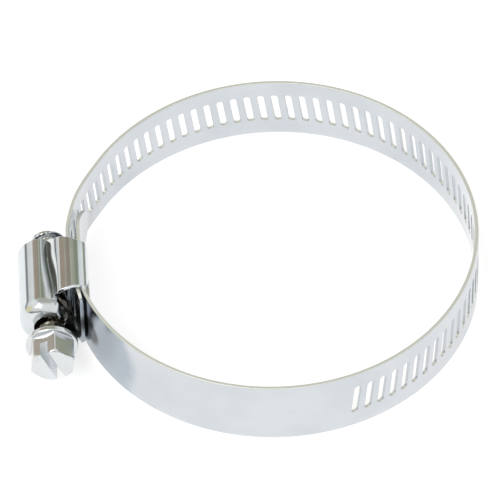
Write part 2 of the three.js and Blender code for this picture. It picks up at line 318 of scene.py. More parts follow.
def strip_middle(length):
    """The middle of the strip, with the bulge that the steel takes by itself."""
    point, heading = strip_path(length)
    past = length - lift_length
    out = BULGE * (smooth_step(past / BULGE_RISE) - smooth_step((past - BULGE_FALL_FROM) / BULGE_FALL))
    return Vector((point[0] + out * math.sin(heading), point[1] - out * math.cos(heading), 0))


def strip_axes(length):
    """The middle of the strip, the way it runs, and the way its outer face looks."""
    along = strip_middle(length + AXIS_STEP) - strip_middle(length - AXIS_STEP)
    along.normalize()
    return strip_middle(length), along, Vector((along.y, -along.x, 0))


axes_at = {}


def strip_point(length, z, out):
    """A point on the strip, and its two directions."""
    key = round(length, 5)
    if key not in axes_at:
        axes_at[key] = strip_axes(length)
    middle, along, outward = axes_at[key]
    return middle + outward * out + Vector((0, 0, z)), along, outward


# ---------------------------------------------------------------- strip pieces


def strip_vertex(parts, length, z, out, kind, lean):
    """A vertex of the strip. lean is its normal: along the strip, along the ring's axis, out."""
    point, along, outward = strip_point(length, z, out)
    normal = along * lean[0] + Vector((0, 0, lean[1])) + outward * lean[2]
    key = (round(length, 4), round(z, 4), round(out, 4), kind)
    return parts.vertex(key, point, normal, (length * MM * UV_SCALE, z * MM * UV_SCALE))


def slot_loop(middle, grow):
    """The points round a slot, with their normals into the slot, as (length, z, normal)."""
    half = SLOT_HALF_WIDTH + grow
    reach = SLOT_HALF_LENGTH - SLOT_SHOULDER + grow
    points = []
    for turn in (1, -1):
        for i in range(SLOT_SIDE_STEPS):
            z = SLOT_SHOULDER * (2 * i / SLOT_SIDE_STEPS - 1)
            points.append((half * turn, z * turn, (-turn, 0)))
        for i in range(SLOT_END_STEPS):
            angle = math.pi * i / SLOT_END_STEPS
            across = half * math.cos(angle)
            z = SLOT_SHOULDER + reach * math.sin(angle)
            normal = (-math.cos(angle) * turn, -math.sin(angle) * turn)
            points.append((across * turn, z * turn, normal))
    return [(middle + x + z * SLOT_SLANT, z, normal) for x, z, normal in points]


def frame_loop(start, end):
    """The points round the area that a slot is set in, one for each of the slot's points."""
    points = []
    for turn in (1, -1):
        near, far = (start, end) if turn == 1 else (end, start)
        for i in range(SLOT_SIDE_STEPS):
            points.append((far, SLOT_FRAME * (2 * i / SLOT_SIDE_STEPS - 1) * turn))
        for i in range(SLOT_END_STEPS):
            points.append((far + (near - far) * i / SLOT_END_STEPS, SLOT_FRAME * turn))
    return points


def slot_area(parts, start, end):
    """Both faces of the strip round one slot, and the slot's walls."""
    middle = (start + end) / 2
    wall = slot_loop(middle, 0)
    rim = slot_loop(middle, SLOT_EDGE)
    border = frame_loop(start, end)
    half = THICKNESS / 2
    rings = []
    for side in (1, -1):
        outer = [strip_vertex(parts, s, z, half * side, "face", (0, 0, side)) for s, z in border]
        edge = [strip_vertex(parts, s, z, half * side, "face", (0, 0, side)) for s, z, _ in rim]
        below = (half - SLOT_EDGE) * side
        inner = [strip_vertex(parts, s, z, below, "wall", (*n, 0)) for s, z, n in wall]
        rings.append((outer, edge, inner))
    count = len(border)
    for i in range(count):
        j = (i + 1) % count
        for (outer, edge, inner), flip in ((rings[0], False), (rings[1], True)):
            quads = [
                (outer[i], outer[j], edge[j], edge[i]),
                (edge[i], edge[j], inner[j], inner[i]),
            ]
            for quad in quads:
                parts.face(*(reversed(quad) if flip else quad))
        parts.face(rings[0][2][i], rings[0][2][j], rings[1][2][j], rings[1][2][i])


def plain_area(parts, lengths, rows, half_width):
    """Both faces of the strip over an area. rows are shares of the half width."""
    half = THICKNESS / 2
    for near, far in zip(lengths, lengths[1:]):
        for bottom, top in zip(rows, rows[1:]):
            for side in (1, -1):
                corners = [
                    strip_vertex(parts, s, z * half_width(s), half * side, "face", (0, 0, side))
                    for s, z in ((near, bottom), (far, bottom), (far, top), (near, top))
                ]
                parts.face(*(corners if side == 1 else reversed(corners)))


def edge_area(parts, lengths, side, half_width):
    """One long edge of the strip, rounded at both faces. side is 1 at the top, -1 below."""
    half = THICKNESS / 2
    for near, far in zip(lengths, lengths[1:]):
        columns = []
        for s in (near, far):
            z = side * half_width(s)
            slope = (half_width(s + WIDTH_STEP) - half_width(s - WIDTH_STEP)) / (2 * WIDTH_STEP)
            lean = (-slope, side, 0)
            columns.append([
                strip_vertex(parts, s, z - side * EDGE, half, "face", (0, 0, 1)),
                strip_vertex(parts, s, z, half - EDGE, "edge", lean),
                strip_vertex(parts, s, z, EDGE - half, "edge", lean),
                strip_vertex(parts, s, z - side * EDGE, -half, "face", (0, 0, -1)),
            ])
        for i in range(3):
            corners = (columns[0][i], columns[1][i], columns[1][i + 1], columns[0][i + 1])
            parts.face(*(corners if side == 1 else reversed(corners)))


def end_area(parts, length, rows, half_width, way):
    """The cut end of a piece. way is 1 where the strip runs out of the piece, -1 before it."""
    half = THICKNESS / 2
    width = half_width(length)
    lean = (way, 0, 0)
    outline = []
    for out, turn in ((half, 1), (-half, -1)):
        outline += [(row * width * turn, out) for row in rows]
        outline.append((width * turn, out - EDGE * turn))
        outline.append((width * turn, EDGE * turn - out))
    unique = []
    for z, out in outline:
        if not any(abs(z - a) < 1e-6 and abs(out - b) < 1e-6 for a, b in unique):
            unique.append((z, out))
    corners = [strip_vertex(parts, length, z, out, "end", lean) for z, out in unique]
    parts.face(*(reversed(corners) if way == 1 else corners))


def face_rows():
    """The rows across the strip's faces, as shares of its half width."""
    inner = 1 - EDGE / HALF_WIDTH
    middle = SLOT_FRAME / HALF_WIDTH
    return [-inner, -middle, -middle / 2, 0, middle / 2, middle, inner]


def full_width(_length):
    """Half the width of the strip, away from its ends."""
    return HALF_WIDTH


def tail_width(length):
    """Half the width of the strip near its free end, which has rounded corners."""
    past = max(0, length - (STRIP_LENGTH - TAIL_CORNER))
    past = min(past, TAIL_CORNER)
    return HALF_WIDTH - TAIL_CORNER + math.sqrt(TAIL_CORNER ** 2 - past ** 2)


def tongue_width(length):
    """Half the width of the fixed end, which narrows to a rounded tongue."""
    past = max(0, tongue_hinge_length - TONGUE_STRAIGHT - length)
    share = past / (TONGUE_LENGTH - TONGUE_STRAIGHT)
    width = HALF_WIDTH - (HALF_WIDTH - TONGUE_TIP - TONGUE_TIP_FLAT) * share ** 1.5
    left = max(0.02, length - tongue_end_length)
    if left < TONGUE_TIP:
        width -= TONGUE_TIP - math.sqrt(TONGUE_TIP ** 2 - (TONGUE_TIP - left) ** 2)
    return max(NARROWEST, width)


def shrinking_cell(start, end, toward_end):
    """The lengths in a cell, closer together towards the strip's free end."""
    steps = 10
    shares = [1 - (1 - i / steps) ** 2 for i in range(steps + 1)]
    if not toward_end:
        shares = [1 - share for share in reversed(shares)]
    return [start + (end - start) * share for share in shares]


def strip_piece(name, cell_edges, half_width, free_start, free_end):
    """A closed piece of the strip, cut into cells at these lengths."""
    parts = MeshParts()
    rows = face_rows()
    for start, end in zip(cell_edges, cell_edges[1:]):
        middle = (start + end) / 2
        lengths = [start + (end - start) * i / CELL_STEPS for i in range(CELL_STEPS + 1)]
        slotted = middle > PLAIN_LENGTH
        if free_end and end == cell_edges[-1]:
            lengths = shrinking_cell(start, end, True)
            slotted = False
        if free_start and start == cell_edges[0]:
            lengths = shrinking_cell(start, end, False)
        if slotted:
            slot_area(parts, start, end)
            plain_area(parts, lengths, rows[:2], half_width)
            plain_area(parts, lengths, rows[-2:], half_width)
        else:
            plain_area(parts, lengths, rows, half_width)
        for side in (1, -1):
            edge_area(parts, lengths, side, half_width)
    end_area(parts, cell_edges[0], rows, half_width, -1)
    end_area(parts, cell_edges[-1], rows, half_width, 1)
    return parts.build(name)


def row_place(length):
    """The middle of the strip at a length, in the frame's metres."""
    return (CENTRE + strip_point(length, 0, 0)[0]) * MM


def hinge_piece(number):
    """The piece of strip that spans one of the hinges between links."""
    hinge = (number - 1) * LINK_LENGTH
    start = hinge - BACK_OF_HINGE
    last = number == LINK_COUNT
    end = STRIP_LENGTH if last else hinge + AHEAD_OF_HINGE
    cells = round((end - start) / SLOT_PITCH)
    edges = [start + SLOT_PITCH * i for i in range(cells + 1)]
    made = strip_piece(
        f"band_strip_{number:02d}",
        edges,
        tail_width if last else full_width,
        False,
        last,
    )
    row_place(hinge - BACK_OF_HINGE)
    row_place(hinge + BACK_OF_HINGE)
    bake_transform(made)
    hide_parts(f"band_link_{number:02d}")
    return made


def fixed_end():
    """The strip's fixed end, with the tongue that lies under the returning strip."""
    start = tongue_end_length
    end = -BACK_OF_HINGE
    cells = round((end - start) / SLOT_PITCH)
    edges = [start + (end - start) * i / cells for i in range(cells + 1)]
    made = strip_piece("band_fixed_strip", edges, tongue_width, True, False)
    row_place(tongue_hinge_length + TONGUE_BLEND)
    row_place(tongue_hinge_length - TONGUE_BLEND)
    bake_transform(made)
    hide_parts("band_fixed_end", "band_tongue")
    return made


# ---------------------------------------------------------------- housing


def spline(points, steps):
    """A smooth curve through points, with this many steps between each two."""
    ends = [points[0], *points, points[-1]]
    curve = []
    for a, b, c, d in zip(ends, ends[1:], ends[2:], ends[3:]):
        for i in range(steps):
            t = i / steps
            curve.append(tuple(
                0.5 * (2 * q + (r - p) * t + (2 * p - 5 * q + 4 * r - s) * t * t
                       + (3 * q - p - 3 * r + s) * t ** 3)
                for p, q, r, s in zip(a, b, c, d)
            ))
    curve.append(points[-1])
    return curve


def both_halves(half):
    """A curve from its mirror image below to its end above. It starts on the mirror line."""
    return [(x, -z) for x, z in reversed(half[1:])] + half


def grid(bmesh_target, rows):
    """Rows of points as a sheet of faces. Equal points are merged later."""
    made = [[bmesh_target.verts.new((CENTRE + point) * MM) for point in row] for row in rows]
    for near, far in zip(made, made[1:]):
        for i in range(len(near) - 1):
            bmesh_target.faces.new((near[i], near[i + 1], far[i + 1], far[i]))


def drifted(x, y, points_away):
    """A place across the housing, moved with the crease, which drifts along the screw."""
    near = max(0, 1 - points_away / DRIFT_REACH)
    along = smooth_step((DRIFT_START_Y - y) / DRIFT_LENGTH)
    return x + CREASE_DRIFT * along * near * near * (3 - 2 * near)


def body_ends(past):
    """Where the sheet ends towards the head and the back, some outline points past the crease."""
    head = SHOULDER_HEAD_Y - SHOULDER_DIP * smooth_step(past / 2)
    head += SHOULDER_DIP_BACK * smooth_step((past - 3) / 3)
    head += (FOOT_HEAD_Y - SHOULDER_HEAD_Y) * smooth_step((past - FOOT_FROM) / 2.5)
    back = HOUSING_BACK_Y + (SHOULDER_BACK_Y - HOUSING_BACK_Y) * smooth_step(past / 2.5)
    back -= SHOULDER_BACK_ROUNDING * smooth_step((past - 2.5) / 5.5)
    return head, back


def body_rows(steps):
    """The housing's arch, shoulders and feet, as rows across, from its head to its back."""
    arch = spline(ARCH, steps)
    shoulder = spline(SHOULDER, steps)
    crease = len(arch) - 1
    section = both_halves(arch + shoulder[1:])
    middle = len(section) // 2
    rows = []
    for i in range(BODY_ROW_STEPS + 1):
        row = []
        for k, (x, z) in enumerate(section):
            past = (abs(k - middle) - crease) / steps  # in outline points past the crease
            head, back = body_ends(past)
            y = head + (back - head) * i / BODY_ROW_STEPS
            row.append(Vector((SCREW_X + drifted(x, y, abs(past)), y, z)))
        rows.append(row)
    return rows


def head_places():
    """The rows of the arch's head end: place along the screw, flap's share and mouth's share."""
    places = [(SHOULDER_HEAD_Y, 0, 0)]
    straight = 3
    for i in range(1, straight + 1):
        y = SHOULDER_HEAD_Y + (NOSE_START_Y - SHOULDER_HEAD_Y) * i / straight
        share = (SHOULDER_HEAD_Y - y) / FLAP_ROUNDING
        places.append((y, math.sqrt(1 - (1 - min(1, share)) ** 2), 0))
    turns = 7
    for i in range(1, turns + 1):
        angle = math.pi / 2 * i / turns
        y = NOSE_START_Y + (HOUSING_HEAD_Y - NOSE_START_Y) * math.sin(angle)
        places.append((y, 1, 1 - math.cos(angle)))
    return places


def head_rows(steps):
    """The end of the arch towards the screw's head: it closes in to a round mouth."""
    arch = spline(ARCH, steps)
    flap_steps = 2
    flap = spline(HEAD_FLAP, flap_steps)[1:]
    full = both_halves(arch + flap)
    held = both_halves(arch + [arch[-1]] * len(flap))
    crease = len(arch) - 1
    middle = len(full) // 2
    rows = []
    for y, open_share, closed in head_places():
        row = []
        for k, ((x0, z0), (x1, z1)) in enumerate(zip(held, full)):
            past = abs(k - middle) - crease
            away = -past / steps if past < 0 else past / flap_steps * open_share
            x = drifted(x0 + (x1 - x0) * open_share, y, away)
            z = z0 + (z1 - z0) * open_share
            scale = 1 + (MOUTH_RADIUS / math.hypot(x, z) - 1) * closed
            row.append(Vector((SCREW_X + x * scale, y, z * scale)))
        rows.append(row)
    return list(reversed(rows))


def placed(shape, name):
    """An object made of a bmesh, linked to the scene. It uses the bmesh up."""
    mesh = bpy.data.meshes.new(name)
    shape.to_mesh(mesh)
    shape.free()
    made = bpy.data.objects.new(name, mesh)
    bpy.context.scene.collection.objects.link(made)
    return made


def finished_mesh(made, name):
    """The object's mesh with its modifiers applied."""
    depsgraph = bpy.context.evaluated_depsgraph_get()
    mesh = bpy.data.meshes.new_from_object(made.evaluated_get(depsgraph))
    mesh.name = name
    made.modifiers.clear()
    made.data = mesh


def bevel(made, width, angle):
    """Rounds the object's sharp edges and keeps its flat faces flat."""
    rounding = made.modifiers.new("Bevel", "BEVEL")
    rounding.width = width * MM
    rounding.segments = 2
    rounding.limit_method = "ANGLE"
    rounding.angle_limit = math.radians(angle)
    rounding.harden_normals = True
    rounding.use_clamp_overlap = False


def flat_uvs(mesh):
    """UVs from each vertex's place along and across the screw's axis."""
    if not mesh.uv_layers:
        mesh.uv_layers.new(name="UVMap")
    layer = mesh.uv_layers[0]
    for loop in mesh.loops:
        place = mesh.vertices[loop.vertex_index].co
        layer.data[loop.index].uv = (place.y * UV_SCALE, (place.z + place.x) * UV_SCALE)


def bent_sheet():
    """The housing's outer surface, with its faces looking out."""
    sheet = bmesh.new()
    grid(sheet, body_rows(SHEET_STEPS))
    grid(sheet, head_rows(SHEET_STEPS))
    bmesh.ops.remove_doubles(sheet, verts=sheet.verts, dist=0.02 * MM)
    bmesh.ops.recalc_face_normals(sheet, faces=sheet.faces)
    inside = (CENTRE + Vector((SCREW_X, -5, 0))) * MM
    top = max(sheet.faces, key=lambda face: face.calc_center_median().z)
    if (top.calc_center_median() - inside).dot(top.normal) < 0:
        bmesh.ops.reverse_faces(sheet, faces=sheet.faces)
    return placed(sheet, "clamp_housing")


def worm_housing():
    """The stamped housing, one bent sheet of one thickness."""
    made = bent_sheet()
    made.data.shade_smooth()
    thicken = made.modifiers.new("Solidify", "SOLIDIFY")
    thicken.thickness = SHEET * MM
    thicken.offset = -1
    thicken.use_even_offset = True
    thicken.material_offset = 1  # the inside is the second material, darkened as painted shade
    bevel(made, SHEET_EDGE, 50)
    finished_mesh(made, "clamp_housing")
    flat_uvs(made.data)
    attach(made, "housing")
    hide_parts("worm_housing")
    return made


# ---------------------------------------------------------------- screw


def hex_radius(angle):
    """Distance from the axis to the hexagon's side, with its corners cut back a little."""
    sixth = math.pi / 3
    from_side = abs((angle - HEX_CORNER_TURN) % sixth - sixth / 2)
    cut = math.pi / 6 - HEX_CORNER_EASE
    if from_side <= cut:
        return HALF_FLATS / math.cos(from_side)
    rise = CORNER_RISE * (1 - ((math.pi / 6 - from_side) / HEX_CORNER_EASE) ** 2)
    return HALF_FLATS / math.cos(cut) + rise


def screw_angles():
    """The angles of the screw's ring vertices: even, with more at the hexagon's corners."""
    segments = 96
    angles = {2 * math.pi * k / segments for k in range(segments)}
    for corner in range(6):
        middle = HEX_CORNER_TURN + corner * math.pi / 3
        angles |= {middle - HEX_CORNER_EASE, middle + HEX_CORNER_EASE}
    return sorted(angles)


def thread_radius(angle, y):
    """Distance from the axis to the thread's surface."""
    phase = (y - THREAD_START_Y - ROOT_HALF_WIDTH) / SLOT_PITCH - angle / (2 * math.pi)
    off = abs(phase - round(phase)) * SLOT_PITCH
    rise = smooth_step((ROOT_HALF_WIDTH - off) / (ROOT_HALF_WIDTH - CREST_HALF_WIDTH))
    ease = smooth_step(min((y - THREAD_START_Y) / THREAD_RISE, (THREAD_END_Y - y) / THREAD_FALL))
    return CORE_RADIUS + (CREST_RADIUS - CORE_RADIUS) * rise * ease


def capped(limit):
    """The hexagon's radius rule, cut off by a circle."""
    return lambda angle: min(hex_radius(angle), limit)


def head_rings():
    """The hex head's rings: its end face, the round chamfer on its corners, and its sides."""
    rings = [(FACE_Y, capped(radius)) for radius in (1.1, 2.2, FACE_RADIUS)]
    corner = HALF_FLATS / math.cos(math.pi / 6)
    chamfer_steps = 12
    for i in range(1, chamfer_steps + 1):
        share = i / chamfer_steps
        limit = FACE_RADIUS + (corner + CORNER_RISE - FACE_RADIUS) * math.sin(share * math.pi / 2)
        rings.append((FACE_Y + HEAD_CHAMFER * (1 - math.cos(share * math.pi / 2)), capped(limit)))
    side_start = FACE_Y + HEAD_CHAMFER
    root_start = HEX_Y - HEX_ROOT_RADIUS
    side_steps = 5
    for i in range(1, side_steps + 1):
        rings.append((side_start + (root_start - side_start) * i / side_steps, hex_radius))
    root_steps = 3
    for i in range(1, root_steps + 1):
        turn = math.pi / 2 * i / root_steps
        out = HEX_ROOT_RADIUS * (1 - math.cos(turn))
        y = root_start + HEX_ROOT_RADIUS * math.sin(turn)
        rings.append((y, lambda angle, out=out: hex_radius(angle) + out))
    return rings


def collar_rings():
    """The collar's rings, with rounded edges, and the neck's."""
    rings = []
    steps = 5
    for side, centre_y in ((-1, HEX_Y + COLLAR_EDGE), (1, COLLAR_Y - COLLAR_EDGE)):
        for i in range(steps + 1):
            angle = math.pi / 2 * i / steps
            turn = angle if side == -1 else math.pi / 2 - angle
            radius = COLLAR_RADIUS - COLLAR_EDGE + COLLAR_EDGE * math.sin(turn)
            y = centre_y + side * COLLAR_EDGE * math.cos(turn)
            rings.append((y, lambda angle, r=radius: r))
    for rise, wider in ((0, 0.25), (0.05, 0.08), (0.2, 0)):
        rings.append((COLLAR_Y + rise, lambda angle, r=NECK_RADIUS + wider: r))
    rings.append((THREAD_START_Y - 0.2, lambda angle: NECK_RADIUS))
    return rings


def thread_rings():
    """The thread's rings, which drop off round the screw's tip."""
    rings = []
    rings_per_mm = 10
    steps = round((THREAD_END_Y - THREAD_START_Y) * rings_per_mm)
    for i in range(steps + 1):
        y = THREAD_START_Y + (THREAD_END_Y - THREAD_START_Y) * i / steps
        left = min(1, (THREAD_END_Y - y) / TIP_RADIUS)
        drop = TIP_RADIUS * (1 - math.sqrt(1 - (1 - left) ** 2))
        rings.append((y, lambda angle, y=y, drop=drop: thread_radius(angle, y) - drop))
    return rings


def driver_slot():
    """The solid that cuts the screwdriver's slot. It flares where it meets the end face."""
    half = DRIVER_SLOT_WIDTH / 2
    flare = DRIVER_SLOT_CHAMFER
    outline = [
        (half, DRIVER_SLOT_DEPTH),
        (half, flare),
        (half + 4 * flare, -3 * flare),
        (-half - 4 * flare, -3 * flare),
        (-half, flare),
        (-half, DRIVER_SLOT_DEPTH),
    ]
    reach = 1.5 * COLLAR_RADIUS
    cutter = bmesh.new()
    ends = []
    for z in (-reach, reach):
        ends.append([cutter.verts.new(Vector((x, y, z)) * MM) for x, y in outline])
    for i in range(len(outline)):
        j = (i + 1) % len(outline)
        cutter.faces.new((ends[0][i], ends[0][j], ends[1][j], ends[1][i]))
    cutter.faces.new(ends[0])
    cutter.faces.new(list(reversed(ends[1])))
    bmesh.ops.recalc_face_normals(cutter, faces=cutter.faces)
    turn = Matrix.Rotation(DRIVER_SLOT_TURN, 4, "Y")
    place = Matrix.Translation((CENTRE + Vector((SCREW_X, FACE_Y, 0))) * MM)
    bmesh.ops.transform(cutter, matrix=place @ turn, verts=cutter.verts)
    return placed(cutter, "slot_cutter")


def screw_body():
    """The screw without its screwdriver's slot: rings of vertices round its axis."""
    body = bmesh.new()

    def ring_vertex(angle, y, radius):
        point = Vector((SCREW_X + radius * math.sin(angle), y, radius * math.cos(angle)))
        return body.verts.new((CENTRE + point) * MM)

    angles = screw_angles()
    rings = []
    for y, rule in head_rings() + collar_rings() + thread_rings():
        rings.append([ring_vertex(angle, y, rule(angle)) for angle in angles])
    for near, far in zip(rings, rings[1:]):
        for k in range(len(angles)):
            n = (k + 1) % len(angles)
            body.faces.new((near[k], near[n], far[n], far[k]))
    for ring, y in ((rings[0], FACE_Y), (rings[-1], THREAD_END_Y)):
        centre = ring_vertex(0, y, 0)
        for k in range(len(angles)):
            body.faces.new((ring[k], ring[(k + 1) % len(angles)], centre))
    bmesh.ops.remove_doubles(body, verts=body.verts, dist=0.002 * MM)
    bmesh.ops.recalc_face_normals(body, faces=body.faces)
    return placed(body, "clamp_screw")


def worm_screw():
    """The slotted hex head, its collar, the neck and the worm thread, in one piece."""
    made = screw_body()
    made.data.shade_smooth()
    cutter = driver_slot()
    cut = made.modifiers.new("Slot", "BOOLEAN")
    cut.object = cutter
    cut.operation = "DIFFERENCE"
    cut.solver = "EXACT"
    finished_mesh(made, "clamp_screw_cut")
    bpy.data.objects.remove(cutter)
    made.data.shade_smooth()
    made.data.set_sharp_from_angle(angle=SHARP_ANGLE)
    weighted = made.modifiers.new("Weighted", "WEIGHTED_NORMAL")
    weighted.keep_sharp = True
    finished_mesh(made, "clamp_screw")
    flat_uvs(made.data)
    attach(made, "screw")
    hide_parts("worm_screw")
    return made


# ---------------------------------------------------------------- materials


class Nodes:
    """A short way to add and join a material's nodes."""

    def __init__(self, tree):
        self.tree = tree

    def add(self, kind, inputs=(), **settings):
        """A node with its settings, and its inputs joined or set."""
        node = self.tree.nodes.new(kind)
        for name, value in settings.items():
            setattr(node, name, value)
        for name, value in dict(inputs).items():
            if isinstance(value, bpy.types.NodeSocket):
                self.tree.links.new(value, node.inputs[name])
            else:
                node.inputs[name].default_value = value
        return node

    def calculate(self, operation, *values):
        """The result of an operation on one value or more."""
        node = self.add("ShaderNodeMath", enumerate(values), operation=operation)
        return node.outputs["Value"]

    def noise(self, vector, scale, detail):
        """A noise value from 0 to 1."""
        inputs = {"Vector": vector, "Scale": scale, "Detail": detail}
        return self.add("ShaderNodeTexNoise", inputs).outputs["Fac"]

    def smooth_range(self, value, low_end, high_end):
        """0 below a range of a value, 1 above it, and smooth between."""
        inputs = {"Value": value, "From Min": low_end, "From Max": high_end}
        node = self.add("ShaderNodeMapRange", inputs, interpolation_type="SMOOTHSTEP")
        return node.outputs["Result"]

    def stretched(self, vector, scale):
        """Coordinates stretched by a different amount each way."""
        return self.add("ShaderNodeMapping", {"Vector": vector, "Scale": scale}).outputs["Vector"]

    def ramp(self, value, *stops):
        """A value or colour from a list of (place, brightness or colour)."""
        node = self.add("ShaderNodeValToRGB", {"Fac": value})
        colours = node.color_ramp.elements
        while len(colours) < len(stops):
            colours.new(0.5)
        for element, (place, colour) in zip(colours, stops):
            element.position = place
            shade = (colour,) * 3 if isinstance(colour, (int, float)) else colour
            element.color = (*shade, 1)
        return node.outputs["Color"]

    def mix(self, share, first, second, blend="MIX"):
        """Two colours mixed."""
        inputs = {"Fac": share, "Color1": first, "Color2": second}
        return self.add("ShaderNodeMixRGB", inputs, blend_type=blend).outputs["Color"]

    def bump(self, height, strength, distance):
        """A bumped normal."""
        inputs = {"Height": height, "Strength": strength, "Distance": distance}
        return self.add("ShaderNodeBump", inputs).outputs["Normal"]


def strip_painted_reflections(nodes, place, colour):
    """The strip's colour, with two uneven dark patches of painted reflection and shade near the
    screw's head.
    """
    uneven = nodes.noise(place, 260, 2.0)
    for shade_colour, centre, inner, outer in PAINTED_SHADE_PATCHES:
        middle = (CENTRE + Vector(centre)) * MM
        away = nodes.add("ShaderNodeVectorMath", {0: place, 1: middle}, operation="DISTANCE")
        spread = nodes.calculate("MULTIPLY", uneven, PATCH_UNEVENNESS * outer * MM)
        reach = nodes.calculate("SUBTRACT", away.outputs["Value"], spread)
        clear = nodes.smooth_range(reach, inner * PATCH_SHARE * MM, outer * PATCH_SHARE * MM)
        # painted dark reflection and shade, mixed into the strip's colour
        painted_patch = nodes.mix(clear, (*shade_colour, 1), WHITE)
        colour = nodes.mix(1.0, colour, painted_patch, "MULTIPLY")
    return colour


def greased_and_shaded_screw(nodes, place, colour):
    """The screw's colour, darkened where it runs inside the housing: grease, and painted shade."""
    y = nodes.add("ShaderNodeSeparateXYZ", {"Vector": place}).outputs["Y"]
    edges = []
    for middle in (GREASE_AND_SHADE_START_Y, GREASE_AND_SHADE_END_Y):
        at = (CENTRE.y + middle) * MM
        edges.append(nodes.smooth_range(y, at - GREASE_AND_SHADE_FADE * MM, at + GREASE_AND_SHADE_FADE * MM))
    # grease, and painted shade where the housing covers the screw
    greased_and_shaded = nodes.mix(1.0, colour, (*GREASE_AND_SHADE, 1), "MULTIPLY")
    return nodes.mix(nodes.calculate("SUBTRACT", *edges), colour, greased_and_shaded)


def housing_crease_shade(nodes, place, colour):
    """The housing's colour, with painted shade and a dark reflection in the crease between the arch
    and the shoulder.
    """
    parts = nodes.add("ShaderNodeSeparateXYZ", {"Vector": place}).outputs
    back = (CENTRE.y + DRIFT_START_Y) * MM
    drift = nodes.smooth_range(parts["Y"], back, back - DRIFT_LENGTH * MM)
    shift = nodes.calculate("MULTIPLY", drift, CREASE_DRIFT * MM)
    middle = nodes.calculate("ADD", shift, (CENTRE.x + SCREW_X + CREASE_SHADE_X) * MM)
    off = nodes.calculate("ABSOLUTE", nodes.calculate("SUBTRACT", parts["X"], middle))
    clear = nodes.smooth_range(off, CREASE_SHADE_INNER * MM, CREASE_SHADE_OUTER * MM)
    end = (CENTRE.y + NOSE_START_Y) * MM
    on_body = nodes.smooth_range(parts["Y"], end, end + CREASE_SHADE_FADE * MM)
    # painted shade and dark reflection along the crease, mixed into the colour
    crease_darkening = nodes.mix(clear, (*CREASE_SHADE_COLOUR, 1), WHITE)
    crease_darkening = nodes.mix(on_body, WHITE, crease_darkening)
    return nodes.mix(1.0, colour, crease_darkening, "MULTIPLY")


def metal(name, clean, worn, streak_scale, streaks, smudges, roughness, bump_height, shade_and_grease=None):
    """Bright metal with fine streaks along its grain, faint smudges and a slight waviness.

    clean and worn are its two colours, streaks is how dark the streaks are, smudges is the
    smudges' scale, and finish adds painted shade and reflections, and grease on the screw, to the
    colour.
    """
    material = bpy.data.materials.new(name)
    material.use_nodes = True
    nodes = Nodes(material.node_tree)
    shader = material.node_tree.nodes["Principled BSDF"]
    place = nodes.add("ShaderNodeTexCoord").outputs
    grain = nodes.noise(nodes.stretched(place["UV"], streak_scale), 1.0, 4.0)
    cloud = nodes.noise(place["Object"], smudges, 3.0)
    speck = nodes.noise(place["Object"], smudges * 9, 2.0)
    lines = nodes.ramp(grain, (0.3, 1 - streaks), (0.7, 1.0))
    patches = nodes.ramp(cloud, (0.35, worn), (0.6, clean))
    colour = nodes.mix(1.0, patches, lines, "MULTIPLY")
    # painted shade and reflections, and grease on the screw, added to the colour
    if shade_and_grease:
        colour = shade_and_grease(nodes, place["Object"], colour)
    low_rough, high_rough = roughness
    rough_cloud = nodes.ramp(cloud, (0.3, high_rough), (0.65, low_rough))
    rough_grain = nodes.ramp(grain, (0.3, high_rough), (0.7, low_rough))
    rough = nodes.mix(0.5, rough_cloud, rough_grain)
    height = nodes.mix(0.25, grain, speck)
    links = material.node_tree.links
    links.new(colour, shader.inputs["Base Color"])
    links.new(rough, shader.inputs["Roughness"])
    links.new(nodes.bump(height, 0.35, bump_height), shader.inputs["Normal"])
    shader.inputs["Metallic"].default_value = 1.0
    return material


def dull_edges(material):
    """Gives a material a duller look where it faces up or down, on the strip's slit edges."""
    nodes = Nodes(material.node_tree)
    shader = material.node_tree.nodes["Principled BSDF"]
    facing = nodes.add("ShaderNodeNewGeometry").outputs["True Normal"]
    upright = nodes.add("ShaderNodeSeparateXYZ", {"Vector": facing}).outputs["Z"]
    on_edge = nodes.smooth_range(nodes.calculate("ABSOLUTE", upright), 0.4, 0.6)
    looks = {"Base Color": EDGE_COLOUR, "Roughness": (EDGE_ROUGHNESS,) * 3}
    for name, look in looks.items():
        on_faces = shader.inputs[name].links[0].from_socket
        both = nodes.mix(on_edge, on_faces, (*look, 1))
        material.node_tree.links.new(both, shader.inputs[name])


def band_steel():
    """Rolled stainless strip: fine lines along its length, and duller slit edges."""
    material = metal(
        "band_steel",
        clean=(0.61, 0.635, 0.665),
        worn=(0.565, 0.595, 0.63),
        streak_scale=(18, 900, 1),
        streaks=0.05,
        smudges=90,
        roughness=(0.13, 0.24),
        bump_height=0.000012,
        # painted reflections of the screw's head and housing, and painted shade beside the head
        shade_and_grease=strip_painted_reflections,
    )
    dull_edges(material)
    return material


def housing_steel():
    """Deep-drawn stainless sheet, brighter than the strip."""
    return metal(
        "housing_steel",
        clean=(0.67, 0.705, 0.73),
        worn=(0.61, 0.635, 0.645),
        streak_scale=(3, 220, 1),
        streaks=0.06,
        smudges=160,
        roughness=(0.07, 0.16),
        bump_height=0.00002,
        # painted shade and a dark reflection in the crease between arch and shoulder
        shade_and_grease=housing_crease_shade,
    )


def inside_grease_and_shade():
    """The housing's inner side, darkened as painted shade for its hollow, with some grease and cutting
    marks.
    """
    return metal(
        "inside_grease_and_shade",
        # dark colours: painted shade inside the housing, with some grease
        clean=(0.13, 0.12, 0.095),
        worn=(0.08, 0.07, 0.05),
        streak_scale=(3, 220, 1),
        streaks=0.2,
        smudges=260,
        roughness=(0.28, 0.45),
        bump_height=0.00003,
    )


